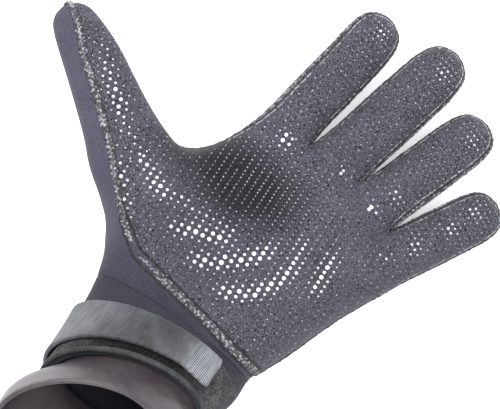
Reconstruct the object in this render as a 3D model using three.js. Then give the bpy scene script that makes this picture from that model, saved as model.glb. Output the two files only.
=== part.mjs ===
import * as THREE from 'three';

// Sizes in millimetres. The glove lies on its back: X runs across the hand from the thumb to
// the little finger, Y towards the fingertips, Z out of the palm.
const palmBreadth = 100;
const palmLength = 90;
const palmDepth = 38;
const fingerLength = 82;
const fingerBreadth = 26;
const fingerDepth = 23;
const thumbLength = 86;
const thumbBreadth = 36.4;
const thumbDepth = 28;
const wristBreadth = 80;
const wristDepth = 54;
const cuffReach = 118;

// Cloth and clearances
const wall = 3;
const sealWall = 2;
const seamGap = 0.3;
const sealTuck = 0.55;
const strapThickness = 1.8;
const loopThickness = 1.3;
const seatGap = 0.35;

// A refined ring lies inside its control ring, so control widths are given this much more.
const controlSwell = 1.085;

const degrees = Math.PI / 180;

// Fingers, index to little: base in the plan as shares of palmBreadth and palmLength, length,
// breadth and depth as shares of the finger sizes, aim in the plan and how far each side seam
// is turned towards the palm, in degrees.
const fingers = [
  { base: [-0.143, 0.365], length: 0.922, aim: 91.8, breadth: 0.985, depth: 0.98, seamLow: 38, seamHigh: 14 },
  { base: [0.152, 0.420], length: 0.999, aim: 88.5, breadth: 1.015, depth: 1.00, seamLow: 6, seamHigh: 22 },
  { base: [0.421, 0.405], length: 0.862, aim: 82.8, breadth: 0.97, depth: 0.97, seamLow: 2, seamHigh: 42 },
  { base: [0.640, 0.310], length: 0.712, aim: 72.0, breadth: 0.90, depth: 0.88, seamLow: 12, seamHigh: 8 },
];

// Sections up a finger: share of its length, of its breadth and of its depth, and how far the
// section is lifted off the table as a share of the depth.
const fingerSections = [
  { along: 0.00, breadth: 1.00, depth: 1.06, lift: 0.00 },
  { along: 0.21, breadth: 1.00, depth: 1.00, lift: 0.00 },
  { along: 0.42, breadth: 1.01, depth: 0.97, lift: 0.00 },
  { along: 0.63, breadth: 0.99, depth: 0.92, lift: 0.01 },
  { along: 0.82, breadth: 0.965, depth: 0.86, lift: 0.03 },
  { along: 0.945, breadth: 0.75, depth: 0.66, lift: 0.12 },
];
const tipLift = 0.44;
// How high a finger's middle lies, as a share of its half depth, and how its seams come back to
// its sides: towards the tip, and all at once past a share of its length.
const fingerRest = 0.93;
const seamFade = 0.35;
const seamTurn = { past: 0.8, share: 0.6 };

// The bottoms of the three gaps between the fingers, as shares of palmBreadth, palmLength and
// fingerDepth.
const crotches = [
  [0.002, 0.375, 0.52],
  [0.292, 0.505, 0.52],
  [0.545, 0.400, 0.50],
];

// Palm sections, from the finger bases to the wrist seam: the first and last palm column in the
// plan, how far the middle bows to the fingers, the two side points, and the height of each of
// the nine columns as a share of palmDepth.
const palmColumns = [0, 0.11, 0.25, 0.40, 0.55, 0.69, 0.81, 0.92, 1];
const palmSections = [
  {
    first: [-0.262, 0.150], last: [0.715, 0.150], bow: 0.030,
    thumbSide: [-0.296, 0.134, 0.40], littleSide: [0.726, 0.140, 0.36],
    heights: [0.62, 0.76, 0.79, 0.77, 0.76, 0.78, 0.78, 0.72, 0.56],
  },
  {
    first: [-0.345, -0.035], last: [0.645, -0.070], bow: 0.020,
    thumbSide: [-0.368, -0.018, 0.26], littleSide: [0.680, -0.080, 0.36],
    heights: [0.74, 0.79, 0.71, 0.64, 0.64, 0.70, 0.79, 0.78, 0.60],
  },
  {
    first: [-0.390, -0.205], last: [0.615, -0.245], bow: 0.010,
    thumbSide: null, littleSide: [0.658, -0.255, 0.38],
    heights: [0.95, 0.95, 0.82, 0.70, 0.67, 0.73, 0.84, 0.86, 0.66],
  },
  {
    first: [-0.380, -0.400], last: [0.590, -0.420], bow: 0.000,
    thumbSide: null, littleSide: [0.637, -0.430, 0.40],
    heights: [1.03, 1.08, 0.98, 0.83, 0.77, 0.81, 0.92, 0.93, 0.70],
  },
  {
    first: [-0.218, -0.582], last: [0.545, -0.585], bow: 0.005,
    thumbSide: [-0.325, -0.525, 0.97], littleSide: [0.602, -0.600, 0.45],
    heights: [0.98, 1.02, 1.03, 1.00, 0.97, 0.97, 0.98, 0.95, 0.74],
  },
];
const backEdgeLift = 0.05;

// The back of the hand beside the thumb, one point for each palm section after the first, as
// shares of palmBreadth, palmLength and palmDepth.
const thumbBack = [
  [-0.340, -0.020, 0.05],
  [-0.355, -0.210, 0.06],
  [-0.450, -0.465, 0.28],
  [-0.428, -0.616, 0.42],
];

// Thumb sections: middle in the plan as shares of thumbLength from the thumb's root, half
// breadth and half depth as shares, the height of the middle as a share of thumbDepth, and how
// far the outer seam is turned over the thumb's palm side, in degrees.
const thumbRoot = [-0.46, -0.303];
const thumbAim = 159.5;
const thumbSections = [
  { along: 0.11, aside: -0.008, breadth: 1.19, depth: 1.14, height: 0.67, seam: 76 },
  { along: 0.27, aside: -0.002, breadth: 1.00, depth: 1.00, height: 0.62, seam: 77 },
  { along: 0.47, aside: 0.004, breadth: 0.89, depth: 0.90, height: 0.60, seam: 82 },
  { along: 0.67, aside: 0.013, breadth: 0.81, depth: 0.82, height: 0.60, seam: 84 },
  { along: 0.83, aside: 0.007, breadth: 0.70, depth: 0.74, height: 0.62, seam: 97 },
  { along: 0.955, aside: 0.000, breadth: 0.54, depth: 0.54, height: 0.64, seam: 113 },
];
const thumbTip = { along: 1.014, aside: 0.010, height: 0.66 };
const thumbInnerSeam = -36;

// Wrist and cuff sections: middle as shares of wristBreadth and cuffReach, swing in the plan and
// rise out of the palm in degrees, half breadth and half depth as shares, roll in degrees.
const cuffSections = [
  { middle: [0.209, -0.560, 0.190], swing: 12, rise: 20, breadth: 1.065, depth: 0.80, roll: -6 },
  { middle: [0.260, -0.667, 0.226], swing: 20, rise: 44.6, breadth: 1.060, depth: 0.98, roll: -12 },
  { middle: [0.277, -0.760, 0.309], swing: 27, rise: 51, breadth: 0.985, depth: 1.01, roll: -9 },
  { middle: [0.288, -0.858, 0.394], swing: 32.5, rise: 54, breadth: 0.940, depth: 1.02, roll: -7 },
];
const sealSections = [
  { middle: [0.222, -0.945, 0.500], swing: 39, rise: 56, breadth: 1.070, depth: 1.05, roll: -4 },
  { middle: [0.219, -1.020, 0.608], swing: 45, rise: 58, breadth: 0.910, depth: 1.08, roll: 0 },
];

// Strap and loop patch on the cuff: columns run round the cuff from the thumb side (0) over the
// palm side to the little finger side (20), rows from the wrist line (0) to the cuff's end (6).
// Over is the share of the loop patch's height the strap passes over, lift how far its lower
// edge stands off.
const strapColumns = [
  { column: -14, top: 2.6, bottom: 4.9, over: 0, lift: 0 },
  { column: -6, top: 2.4, bottom: 5.0, over: 0, lift: 0 },
  { column: -2, top: 2.35, bottom: 5.2, over: 0, lift: 0.2 },
  { column: 1, top: 2.35, bottom: 5.25, over: 1, lift: 0.5 },
  { column: 4, top: 2.35, bottom: 5.3, over: 1, lift: 1.0 },
  { column: 10, top: 2.3, bottom: 5.3, over: 1, lift: 1.2 },
  { column: 13.6, top: 2.25, bottom: 5.2, over: 1, lift: 0.9 },
];
const strapEndSlant = 1.5;
const loopSpan = { first: 2, last: 18, top: 2.3, bottom: 5.85 };

const columns = 20;
const half = columns / 2;
const fingerColumns = 8;

const cage = [];
const cageFaces = [];

function addPoint(x, y, z) {
  cage.push(new THREE.Vector3(x, y, Math.max(z, 0)));
  return cage.length - 1;
}

function addFace(tag, ...corners) {
  cageFaces.push({ tag, corners });
}

// Angles of one ring: the palm side from the low seam to the high seam, then back round.
function ringAngles(count, seamLow, seamHigh) {
  const angles = [];
  const steps = count / 2;
  const from = 180 - seamLow;
  for (let i = 0; i < steps; i += 1) {
    angles.push(from + (seamHigh - from) * i / steps);
  }
  for (let i = 0; i < steps; i += 1) {
    angles.push(seamHigh + (from - 360 - seamHigh) * i / steps);
  }
  return angles.map((angle) => angle * degrees);
}

// A rounded box section: squarer than an ellipse.
const squareness = 0.86;
function sectionPoint(angle, halfBreadth, halfDepth) {
  const c = Math.cos(angle);
  const s = Math.sin(angle);
  return [
    Math.sign(c) * Math.abs(c) ** squareness * halfBreadth,
    Math.sign(s) * Math.abs(s) ** squareness * halfDepth,
  ];
}

// Finger rings, each eight points: low seam, three on the palm side, high seam, three behind.
const fingerRings = fingers.map((finger) => {
  const baseX = finger.base[0] * palmBreadth;
  const baseY = finger.base[1] * palmLength;
  const reachX = Math.cos(finger.aim * degrees) * finger.length * fingerLength;
  const reachY = Math.sin(finger.aim * degrees) * finger.length * fingerLength;
  const acrossX = Math.sin(finger.aim * degrees);
  const acrossY = -Math.cos(finger.aim * degrees);
  const rings = fingerSections.map((section) => {
    const middleX = baseX + reachX * section.along;
    const middleY = baseY + reachY * section.along;
    const halfBreadth = fingerBreadth / 2 * finger.breadth * section.breadth * controlSwell;
    const halfDepth = fingerDepth / 2 * finger.depth * section.depth * controlSwell;
    const bottom = fingerDepth * section.lift;
    const seamLow = finger.seamLow * (section.along > seamTurn.past ? seamTurn.share : 1);
    const seamHigh = finger.seamHigh * (1 - seamFade * section.along);
    const angles = ringAngles(fingerColumns, seamLow, seamHigh);
    return angles.map((angle) => {
      const [across, up] = sectionPoint(angle, halfBreadth, halfDepth);
      return [middleX + acrossX * across, middleY + acrossY * across, bottom + halfDepth * fingerRest + up];
    });
  });
  const tip = [baseX + reachX, baseY + reachY, fingerDepth * tipLift];
  return { rings, tip };
});

function midPoint(a, b) {
  return a.map((value, i) => (value + b[i]) / 2);
}

// First ring of the palm: the finger bases, neighbours sharing their web points.
const baseRings = fingerRings.map((finger) => finger.rings[0].map((point) => [...point]));
for (let i = 0; i < crotches.length; i += 1) {
  const low = baseRings[i];
  const high = baseRings[i + 1];
  const palmWeb = midPoint(low[3], high[1]);
  const backWeb = midPoint(low[5], high[7]);
  const crotch = [
    crotches[i][0] * palmBreadth,
    crotches[i][1] * palmLength,
    crotches[i][2] * fingerDepth,
  ];
  low[3] = palmWeb;
  high[1] = palmWeb;
  low[5] = backWeb;
  high[7] = backWeb;
  low[4] = crotch;
  high[0] = crotch;
}
const baseIndex = new Map();
const baseIds = baseRings.map((ring) => ring.map((point) => {
  if (!baseIndex.has(point)) {
    baseIndex.set(point, addPoint(...point));
  }
  return baseIndex.get(point);
}));

const [indexBase, middleBase, ringBase, littleBase] = baseIds;
const rings = [[
  indexBase[0],
  indexBase[1], indexBase[2], indexBase[3], middleBase[2], middleBase[3], ringBase[2], ringBase[3],
  littleBase[2], littleBase[3],
  littleBase[4],
  littleBase[5], littleBase[6], littleBase[7], ringBase[6], ringBase[7], middleBase[6], middleBase[7],
  indexBase[6], indexBase[7],
]];

// Palm rings
palmSections.forEach((section, row) => {
  const across = palmColumns.map((share) => {
    const x = section.first[0] + (section.last[0] - section.first[0]) * share;
    const y = section.first[1] + (section.last[1] - section.first[1]) * share;
    return [x * palmBreadth, (y + section.bow * 4 * share * (1 - share)) * palmLength];
  });
  const ring = new Array(columns).fill(-1);
  if (section.thumbSide) {
    const [x, y, z] = section.thumbSide;
    ring[0] = addPoint(x * palmBreadth, y * palmLength, z * palmDepth);
  }
  across.forEach(([x, y], i) => {
    ring[1 + i] = addPoint(x, y, section.heights[i] * palmDepth);
  });
  const [x, y, z] = section.littleSide;
  ring[half] = addPoint(x * palmBreadth, y * palmLength, z * palmDepth);
  across.forEach(([px, py], i) => {
    const edge = i === 0 || i === across.length - 1;
    let point = [px, py, edge ? backEdgeLift * palmDepth : 0];
    if (i === 0 && row > 0) {
      const back = thumbBack[row - 1];
      point = [back[0] * palmBreadth, back[1] * palmLength, back[2] * palmDepth];
    }
    ring[columns - 1 - i] = addPoint(...point);
  });
  rings.push(ring);
});

// A ring of the wrist or cuff from its row; inset draws it in evenly.
function cuffRing(section, count, inset) {
  const swing = section.swing * degrees;
  const rise = section.rise * degrees;
  const roll = section.roll * degrees;
  const outward = new THREE.Vector3(Math.sin(swing), -Math.cos(swing), 0);
  const side = new THREE.Vector3(Math.cos(swing), Math.sin(swing), 0);
  const up = new THREE.Vector3(0, 0, Math.cos(rise)).addScaledVector(outward, -Math.sin(rise));
  const across = side.clone().multiplyScalar(Math.cos(roll)).addScaledVector(up, Math.sin(roll));
  const above = up.clone().multiplyScalar(Math.cos(roll)).addScaledVector(side, -Math.sin(roll));
  const middle = new THREE.Vector3(
    section.middle[0] * wristBreadth,
    section.middle[1] * cuffReach,
    section.middle[2] * cuffReach,
  );
  const halfBreadth = wristBreadth / 2 * section.breadth - inset;
  const halfDepth = wristDepth / 2 * section.depth - inset;
  const points = [];
  for (let i = 0; i < count; i += 1) {
    const angle = Math.PI - i * 2 * Math.PI / count;
    points.push(middle.clone()
      .addScaledVector(across, Math.cos(angle) * halfBreadth)
      .addScaledVector(above, Math.sin(angle) * halfDepth));
  }
  return points;
}

const wristRow = rings.length;
cuffSections.forEach((section) => {
  rings.push(cuffRing(section, columns, 0).map((point) => addPoint(point.x, point.y, point.z)));
});

// Faces between the rings; the thumb leaves the hand where a side point is missing.
const seamRow = wristRow - 1;
for (let row = 0; row + 1 < rings.length; row += 1) {
  for (let i = 0; i < columns; i += 1) {
    const next = (i + 1) % columns;
    const corners = [rings[row][i], rings[row + 1][i], rings[row + 1][next], rings[row][next]];
    if (corners.includes(-1)) {
      continue;
    }
    const palmSide = i < half && row < seamRow;
    const tag = row >= wristRow ? 'cuff' : palmSide ? 'palm' : 'back';
    addFace(tag, ...corners);
  }
}

// A finger or thumb from its base ring to its tip.
function addDigit(base, sections, tip) {
  const count = base.length;
  let last = base;
  sections.forEach((section) => {
    const ring = section.map((point) => addPoint(...point));
    for (let i = 0; i < count; i += 1) {
      const next = (i + 1) % count;
      addFace(i < count / 2 ? 'palm' : 'back', last[i], last[next], ring[next], ring[i]);
    }
    last = ring;
  });
  const end = addPoint(...tip);
  for (let i = 0; i < count; i += 1) {
    addFace(i < count / 2 ? 'palm' : 'back', last[i], last[(i + 1) % count], end);
  }
}

fingerRings.forEach((finger, i) => {
  addDigit(baseIds[i], finger.rings.slice(1), finger.tip);
});

const thumbFirst = palmSections.findIndex((section) => !section.thumbSide);
const thumbLast = thumbFirst + 1;
const thumbBase = [
  rings[thumbLast + 2][0], rings[thumbLast + 2][1], rings[thumbLast + 1][1], rings[thumbFirst + 1][1],
  rings[thumbFirst][1], rings[thumbFirst][0], rings[thumbFirst][columns - 1],
  rings[thumbFirst + 1][columns - 1], rings[thumbLast + 1][columns - 1],
  rings[thumbLast + 2][columns - 1],
];
const aim = thumbAim * degrees;
const forward = [Math.cos(aim), Math.sin(aim)];
const sideways = [forward[1], -forward[0]];
function thumbPlace(along, aside) {
  return [
    thumbRoot[0] * palmBreadth + (forward[0] * along + sideways[0] * aside) * thumbLength,
    thumbRoot[1] * palmLength + (forward[1] * along + sideways[1] * aside) * thumbLength,
  ];
}
const thumbRings = thumbSections.map((section) => {
  const [x, y] = thumbPlace(section.along, section.aside);
  const halfBreadth = thumbBreadth / 2 * section.breadth;
  const halfDepth = thumbDepth / 2 * section.depth;
  return ringAngles(thumbBase.length, section.seam, thumbInnerSeam).map((angle) => {
    const [across, up] = sectionPoint(angle, halfBreadth, halfDepth);
    return [x + sideways[0] * across, y + sideways[1] * across, section.height * thumbDepth + up];
  });
});
const thumbEnd = thumbPlace(thumbTip.along, thumbTip.aside);
addDigit(thumbBase, thumbRings, [...thumbEnd, thumbTip.height * thumbDepth]);

function edgeKey(a, b) {
  return a < b ? `${a}_${b}` : `${b}_${a}`;
}

function average(vectors) {
  const sum = new THREE.Vector3();
  vectors.forEach((vector) => sum.add(vector));
  return sum.divideScalar(vectors.length);
}

// One step of smooth refinement: every face becomes a fan of quads.
function refine(points, faces) {
  const facePoints = faces.map(({ corners }) => average(corners.map((i) => points[i])));
  const edges = new Map();
  const around = points.map(() => ({ faces: [], edges: [] }));
  faces.forEach(({ corners }, f) => {
    corners.forEach((a, i) => {
      const b = corners[(i + 1) % corners.length];
      const key = edgeKey(a, b);
      if (!edges.has(key)) {
        edges.set(key, { a, b, faces: [] });
        around[a].edges.push(key);
        around[b].edges.push(key);
      }
      edges.get(key).faces.push(f);
      around[a].faces.push(f);
    });
  });
  const fresh = points.map((point, i) => {
    const rim = around[i].edges.filter((key) => edges.get(key).faces.length === 1);
    if (rim.length) {
      const ends = rim.map((key) => points[edges.get(key).a === i ? edges.get(key).b : edges.get(key).a]);
      return point.clone().multiplyScalar(0.75).addScaledVector(average(ends), 0.25);
    }
    const n = around[i].edges.length;
    const mids = around[i].edges.map((key) => average([points[edges.get(key).a], points[edges.get(key).b]]));
    return average(around[i].faces.map((f) => facePoints[f]))
      .addScaledVector(average(mids), 2)
      .addScaledVector(point, n - 3)
      .divideScalar(n);
  });
  const edgeIds = new Map();
  edges.forEach((edge, key) => {
    const ends = [points[edge.a], points[edge.b]];
    const inner = edge.faces.length === 2 ? edge.faces.map((f) => facePoints[f]) : [];
    edgeIds.set(key, fresh.length);
    fresh.push(average([...ends, ...inner]));
  });
  const faceIds = facePoints.map((point) => {
    fresh.push(point);
    return fresh.length - 1;
  });
  const quads = [];
  faces.forEach(({ tag, corners }, f) => {
    corners.forEach((a, i) => {
      const count = corners.length;
      const after = edgeIds.get(edgeKey(a, corners[(i + 1) % count]));
      const before = edgeIds.get(edgeKey(corners[(i + count - 1) % count], a));
      quads.push({ tag, corners: [a, after, faceIds[f], before] });
    });
  });
  return { points: fresh, faces: quads, edgeIds, faceIds };
}

function faceNormal(points, corners) {
  const [a, b, c, d] = corners.map((i) => points[i]);
  return new THREE.Vector3().crossVectors(c.clone().sub(a), d.clone().sub(b));
}

function pointNormals(points, faces) {
  const normals = points.map(() => new THREE.Vector3());
  faces.forEach(({ corners }) => {
    const normal = faceNormal(points, corners);
    corners.forEach((i) => normals[i].add(normal));
  });
  return normals.map((normal) => normal.normalize());
}

// A closed shell from a patch of quads: outer skin, inner skin a wall below it, and a rim all
// round, drawn back from the patch's edge by half a seam gap. Neighbours split the same rim
// quads the same way, so that the gap stays even where the rim twists.
function shellMesh(points, normals, quads, thickness, pullBack) {
  const edges = new Map();
  quads.forEach((corners) => {
    corners.forEach((a, i) => {
      const b = corners[(i + 1) % 4];
      const key = edgeKey(a, b);
      edges.set(key, edges.has(key) ? null : { a, b });
    });
  });
  const rim = [...edges.values()].filter((edge) => edge);
  const shift = new Map();
  rim.forEach(({ a, b }) => {
    const along = points[b].clone().sub(points[a]).normalize();
    [a, b].forEach((i) => {
      const inward = normals[i].clone().cross(along);
      shift.set(i, (shift.get(i) ?? new THREE.Vector3()).add(inward));
    });
  });
  const used = [...new Set(quads.flat())];
  const order = new Map(used.map((id, i) => [id, i]));
  const positions = [];
  [0, -thickness].forEach((depth) => used.forEach((id) => {
    const point = points[id].clone().addScaledVector(normals[id], depth);
    if (shift.has(id)) {
      point.addScaledVector(shift.get(id).clone().normalize(), pullBack);
    }
    positions.push(point.x, point.y, point.z);
  }));
  const inner = used.length;
  const triangles = [];
  quads.forEach((corners) => {
    const [a, b, c, d] = corners.map((i) => order.get(i));
    triangles.push(a, b, c, a, c, d);
    triangles.push(c + inner, b + inner, a + inner, d + inner, c + inner, a + inner);
  });
  rim.forEach(({ a, b }) => {
    const [i, j] = [order.get(a), order.get(b)];
    if (a < b) {
      triangles.push(j, i, i + inner, j, i + inner, j + inner);
    } else {
      triangles.push(j, i, j + inner, i, i + inner, j + inner);
    }
  });
  const geometry = new THREE.BufferGeometry();
  geometry.setAttribute('position', new THREE.Float32BufferAttribute(positions, 3));
  geometry.setIndex(triangles);
  return geometry;
}

const body = refine(cage, cageFaces);
const bodyNormals = pointNormals(body.points, body.faces);

function bodyPanel(tag) {
  const quads = body.faces.filter((face) => face.tag === tag).map((face) => face.corners);
  return shellMesh(body.points, bodyNormals, quads, wall, seamGap / 2);
}

// The cuff's refined skin as a grid of rows and columns, to seat the strap and the loop patch.
const cuffGrid = [];
for (let row = wristRow; row < rings.length; row += 1) {
  const line = [];
  for (let i = 0; i < columns; i += 1) {
    const next = (i + 1) % columns;
    line.push(rings[row][i], body.edgeIds.get(edgeKey(rings[row][i], rings[row][next])));
  }
  cuffGrid.push(line);
  if (row + 1 < rings.length) {
    const between = [];
    for (let i = 0; i < columns; i += 1) {
      between.push(body.edgeIds.get(edgeKey(rings[row][i], rings[row + 1][i])));
      const f = cageFaces.findIndex((face) => face.corners[0] === rings[row][i]
        && face.corners[1] === rings[row + 1][i]);
      between.push(body.faceIds[f]);
    }
    cuffGrid.push(between);
  }
}

function cuffPoint(row, column, lift) {
  const wrap = columns * 2;
  const low = Math.min(Math.floor(row), cuffGrid.length - 2);
  const left = Math.floor(column);
  const u = row - low;
  const v = column - left;
  const at = (r, c) => cuffGrid[r][((c % wrap) + wrap) % wrap];
  const blend = (list) => {
    const along = (r) => list[at(r, left)].clone().lerp(list[at(r, left + 1)], v);
    return along(low).lerp(along(low + 1), u);
  };
  return blend(body.points).addScaledVector(blend(bodyNormals).normalize(), lift);
}

// A band laid on the cuff: rows of points across it, one line for each column of the cuff.
function bandMesh(lines, thickness) {
  const points = lines.flat();
  const across = lines[0].length;
  const quads = [];
  for (let i = 0; i + 1 < lines.length; i += 1) {
    for (let j = 0; j + 1 < across; j += 1) {
      const a = i * across + j;
      quads.push([a, a + 1, a + across + 1, a + across]);
    }
  }
  const faces = quads.map((corners) => ({ corners }));
  return shellMesh(points, pointNormals(points, faces), quads, thickness, 0);
}

function tableAt(rows, key, column) {
  const upper = rows.findIndex((row) => row.column >= column);
  if (upper <= 0) {
    return rows[upper === 0 ? 0 : rows.length - 1][key];
  }
  const [a, b] = [rows[upper - 1], rows[upper]];
  return a[key] + (b[key] - a[key]) * (column - a.column) / (b.column - a.column);
}

const bandRows = 4;
const strapLines = [];
const strapFirst = strapColumns[0].column;
const strapLast = strapColumns[strapColumns.length - 1].column;
const strapSteps = Math.round(strapLast - strapFirst);
for (let i = 0; i <= strapSteps; i += 1) {
  const column = strapFirst + (strapLast - strapFirst) * i / strapSteps;
  const line = [];
  for (let j = 0; j <= bandRows; j += 1) {
    const share = j / bandRows;
    const top = tableAt(strapColumns, 'top', column);
    const bottom = tableAt(strapColumns, 'bottom', column);
    const slant = i === strapSteps ? strapEndSlant * share : 0;
    const loop = (loopThickness + seatGap) * tableAt(strapColumns, 'over', column);
    const proud = tableAt(strapColumns, 'lift', column);
    line.push(cuffPoint(
      top + (bottom - top) * share,
      column + slant,
      seatGap + loop + proud * share + strapThickness,
    ));
  }
  strapLines.push(line);
}

const loopLines = [];
for (let column = loopSpan.first; column <= loopSpan.last; column += 1) {
  const line = [];
  for (let j = 0; j <= bandRows; j += 1) {
    const row = loopSpan.top + (loopSpan.bottom - loopSpan.top) * j / bandRows;
    line.push(cuffPoint(row, column, seatGap + loopThickness));
  }
  loopLines.push(line);
}

// The seal: a tube of its own, tucked into the cuff's end.
const [cuffInner, cuffEnd] = cuffSections.slice(-2);
const tucked = Object.fromEntries(Object.entries(cuffEnd).map(([key, value]) => {
  const blend = (a, b) => a + (b - a) * sealTuck;
  return [key, Array.isArray(value) ? value.map((v, i) => blend(cuffInner[key][i], v)) : blend(cuffInner[key], value)];
}));
const sealSteps = [1, 1.25, 0.5, 0.1];
const sealStep = wall + 3 * seatGap;
const sealCage = [];
const sealFaces = [];
[tucked, cuffEnd, ...sealSections].forEach((section, row) => {
  cuffRing(section, columns, sealStep * sealSteps[row]).forEach((point) => sealCage.push(point));
  for (let i = 0; row > 0 && i < columns; i += 1) {
    const next = (i + 1) % columns;
    const start = (row - 1) * columns;
    sealFaces.push({ tag: 'seal', corners: [start + i, start + columns + i, start + columns + next, start + next] });
  }
});
const seal = refine(sealCage, sealFaces);
const sealNormals = pointNormals(seal.points, seal.faces);
const sealQuads = seal.faces.map((face) => face.corners);

const glove = new THREE.Group();
glove.name = 'diving_glove';

function addNode(name, geometry, color, roughness) {
  const material = new THREE.MeshStandardMaterial({ color, roughness });
  const mesh = new THREE.Mesh(geometry, material);
  mesh.name = name;
  glove.add(mesh);
}

addNode('palm_panel', bodyPanel('palm'), 0x585662, 0.8);
addNode('back_panel', bodyPanel('back'), 0x696678, 0.9);
addNode('cuff_band', bodyPanel('cuff'), 0x615e6f, 0.9);
addNode('wrist_seal', shellMesh(seal.points, sealNormals, sealQuads, sealWall, 0), 0x4c4650, 0.5);
addNode('loop_patch', bandMesh(loopLines, loopThickness), 0x4a4440, 1);
addNode('wrist_strap', bandMesh(strapLines, strapThickness), 0x8b8c90, 0.8);

// The frame's origin: middle of the outline, on the table.
const box = new THREE.Box3().setFromObject(glove);
const shiftX = -(box.min.x + box.max.x) / 2;
const shiftY = -(box.min.y + box.max.y) / 2;
glove.children.forEach((mesh) => mesh.geometry.translate(shiftX, shiftY, -box.min.z));

export default glove;
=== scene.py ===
import bpy
import bmesh
import math
import random
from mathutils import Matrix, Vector, kdtree
from mathutils.bvhtree import BVHTree


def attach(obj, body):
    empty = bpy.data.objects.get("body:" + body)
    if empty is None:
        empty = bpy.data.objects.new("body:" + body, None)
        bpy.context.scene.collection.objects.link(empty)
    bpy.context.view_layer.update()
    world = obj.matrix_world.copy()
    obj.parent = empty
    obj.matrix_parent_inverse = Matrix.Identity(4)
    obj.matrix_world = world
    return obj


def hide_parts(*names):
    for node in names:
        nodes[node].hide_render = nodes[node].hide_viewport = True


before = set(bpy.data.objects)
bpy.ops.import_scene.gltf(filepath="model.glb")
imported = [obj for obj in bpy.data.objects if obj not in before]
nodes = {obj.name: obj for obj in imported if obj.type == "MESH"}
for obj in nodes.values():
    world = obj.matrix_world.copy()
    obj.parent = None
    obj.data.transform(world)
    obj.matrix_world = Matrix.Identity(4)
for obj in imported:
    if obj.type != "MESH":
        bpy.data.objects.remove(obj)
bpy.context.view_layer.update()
scene = bpy.context.scene
mm = 0.001
weldGap = 0.00002  # points closer than this are one
rimGap = 0.00036  # the two panels' rims lie this near each other

# where the photograph's middle falls on the table, in the row frame
aimPoint = Vector((0.01850, 0.01598, 0.0))


def plan(x, y, z=0.0):  # millimetres in the glove's plan to metres in the row frame
    return Vector((aimPoint.x + x * mm, aimPoint.y + y * mm, z * mm))


# camera, floor and light
view = {"height": 0.632, "turn": 46.0, "lens": 95.0, "sensor": 36.0, "near": 0.01}
bpy.ops.object.camera_add(
    location=(aimPoint.x, aimPoint.y, view["height"]),
    rotation=(0, 0, math.radians(view["turn"])),
)
camera = bpy.context.object
camera.name = "camera"
camera.data.lens = view["lens"]
camera.data.sensor_width = view["sensor"]
camera.data.clip_start = view["near"]
scene.camera = camera


def setInputs(node, values):
    for socketName, value in values.items():
        node.inputs[socketName].default_value = value


bpy.ops.object.select_all(action="DESELECT")
bpy.ops.mesh.primitive_plane_add(size=6, location=(0, 0, 0))
floor = bpy.context.object
floor.name = "floor"
floorLook = bpy.data.materials.new("palePaper")
floorLook.use_nodes = True
setInputs(floorLook.node_tree.nodes["Principled BSDF"], {
    "Base Color": (0.93, 0.93, 0.94, 1), "Roughness": 0.9,
    "Emission Color": (1, 1, 1, 1), "Emission Strength": 0.4,
})
floor.data.materials.append(floorLook)

world = bpy.data.worlds.new("studio")
world.use_nodes = True
setInputs(world.node_tree.nodes["Background"], {"Color": (0.96, 0.97, 1.0, 1), "Strength": 1.5})
scene.world = world
scene.view_settings.view_transform = "Standard"

lamps = [
    {"name": "key", "place": (-0.55, 0.25, 0.95), "size": 0.6, "power": 17},
    {"name": "fill", "place": (0.6, -0.5, 0.8), "size": 0.8, "power": 5},
    {"name": "top", "place": (0.1, 0.5, 1.2), "size": 0.9, "power": 8},
]
lampAim = Vector((0, 0, 0.02))
for lamp in lamps:
    bpy.ops.object.light_add(type="AREA", location=lamp["place"])
    light = bpy.context.object
    light.name = lamp["name"]
    light.data.energy = lamp["power"]
    light.data.size = lamp["size"]
    light.rotation_euler = (lampAim - Vector(lamp["place"])).to_track_quat("-Z", "Y").to_euler()
print("stage: camera, floor and light")


# finishes: shared effects are node groups, and each material sets its own values
def newGroup(name, inputs, outputs):
    group = bpy.data.node_groups.new(name, "ShaderNodeTree")
    for label, value in inputs:
        socket = group.interface.new_socket(name=label, in_out="INPUT", socket_type="NodeSocketFloat")
        socket.default_value = value
    for label in outputs:
        group.interface.new_socket(name=label, in_out="OUTPUT", socket_type="NodeSocketFloat")
    return group, group.nodes.new("NodeGroupInput"), group.nodes.new("NodeGroupOutput")


def math2(tree, kind, a, b=None):
    node = tree.nodes.new("ShaderNodeMath")
    node.operation = kind
    for i, value in enumerate((a, b)):
        if isinstance(value, (int, float)):
            node.inputs[i].default_value = value
        elif value is not None:
            tree.links.new(value, node.inputs[i])
    return node.outputs[0]


def ramp(tree, value, low, high):  # 0 at low, 1 at high
    node = tree.nodes.new("ShaderNodeMapRange")
    setInputs(node, {"From Min": low, "From Max": high})
    tree.links.new(value, node.inputs["Value"])
    return node.outputs["Result"]


# knit: small loops with dark holes between them, rows of thread, and slow unevenness
knitFacts = {
    "inputs": [("Loop", 0.9), ("Row", 0.6), ("Patch", 9.0)],
    "softShare": 1.4, "wander": 3.0, "rowDepth": 0.12, "loopTop": 0.85, "softBase": 0.45,
}
knitGroup, knitIn, knitOut = newGroup("knitFace", knitFacts["inputs"], ["Tone", "Height", "Slow"])
knitCoord = knitGroup.nodes.new("ShaderNodeTexCoord")
knitFine = knitGroup.nodes.new("ShaderNodeTexVoronoi")
knitSoft = knitGroup.nodes.new("ShaderNodeTexNoise")
knitSlow = knitGroup.nodes.new("ShaderNodeTexNoise")
knitSoft.inputs["Detail"].default_value = 2
for texture, share, label in ((knitFine, 1.0, "Loop"), (knitSoft, knitFacts["softShare"], "Loop"),
                              (knitSlow, 1.0, "Patch")):
    knitGroup.links.new(knitCoord.outputs["Object"], texture.inputs["Vector"])
    textureScale = math2(knitGroup, "DIVIDE", share / mm, knitIn.outputs[label])
    knitGroup.links.new(textureScale, texture.inputs["Scale"])
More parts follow.
